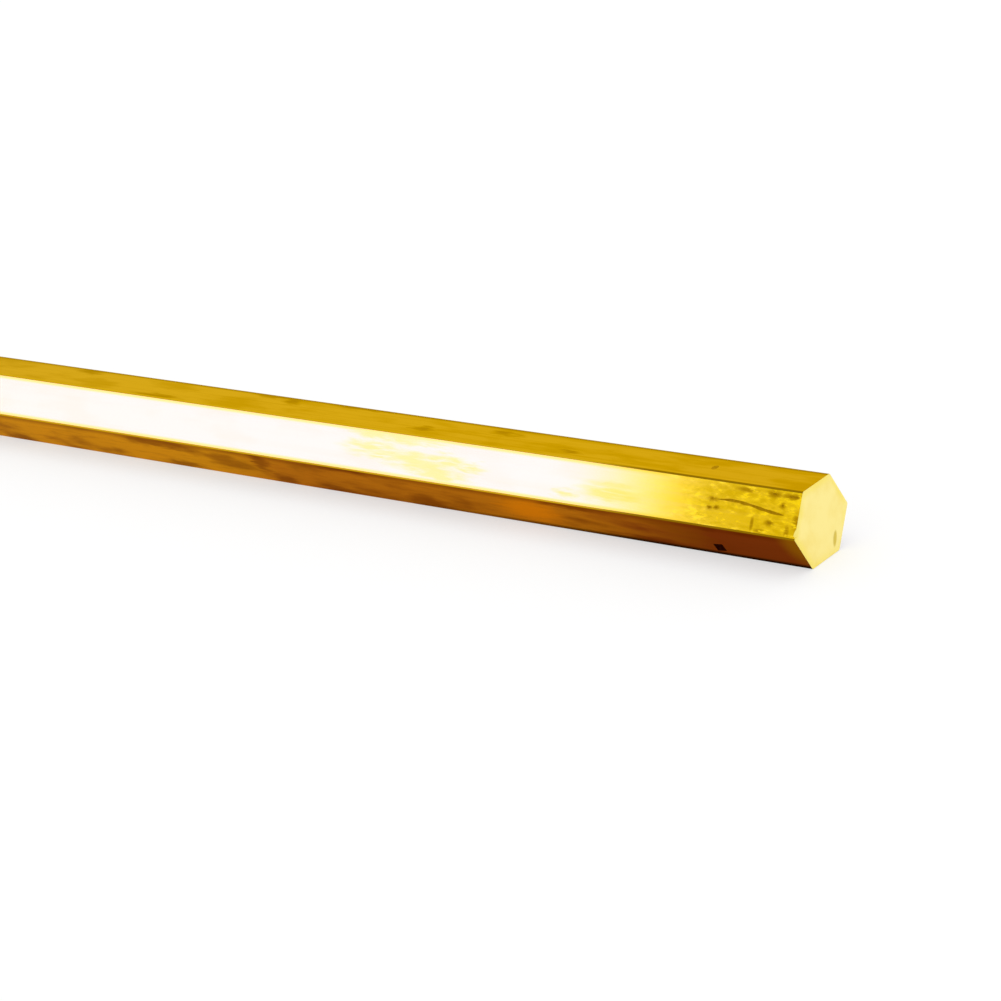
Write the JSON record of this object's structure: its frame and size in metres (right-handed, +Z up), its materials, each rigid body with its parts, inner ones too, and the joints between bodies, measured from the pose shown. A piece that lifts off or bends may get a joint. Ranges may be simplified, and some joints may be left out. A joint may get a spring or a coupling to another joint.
{
  "type": "hexagonal brass bar stock",
  "caption": "Solid drawn brass bar of hexagonal section with lightly rounded long corners, sawn square and deburred at both ends; raw stock for turning and machining.",
  "frame": {"origin": "middle of the flat that the bar lies on", "axes": "+X along the bar towards the sawn end seen in the picture, +Z up through the opposite flat, Y across the corners"},
  "size_m": [0.3048, 0.0218, 0.0191],
  "materials": {
    "drawn_brass": "bright drawn, with faint draw lines, handling stains and a few scratches and nicks"
  },
  "bodies": {
    "root": {"hex_bar": "drawn_brass"}
  },
  "joints": []
}
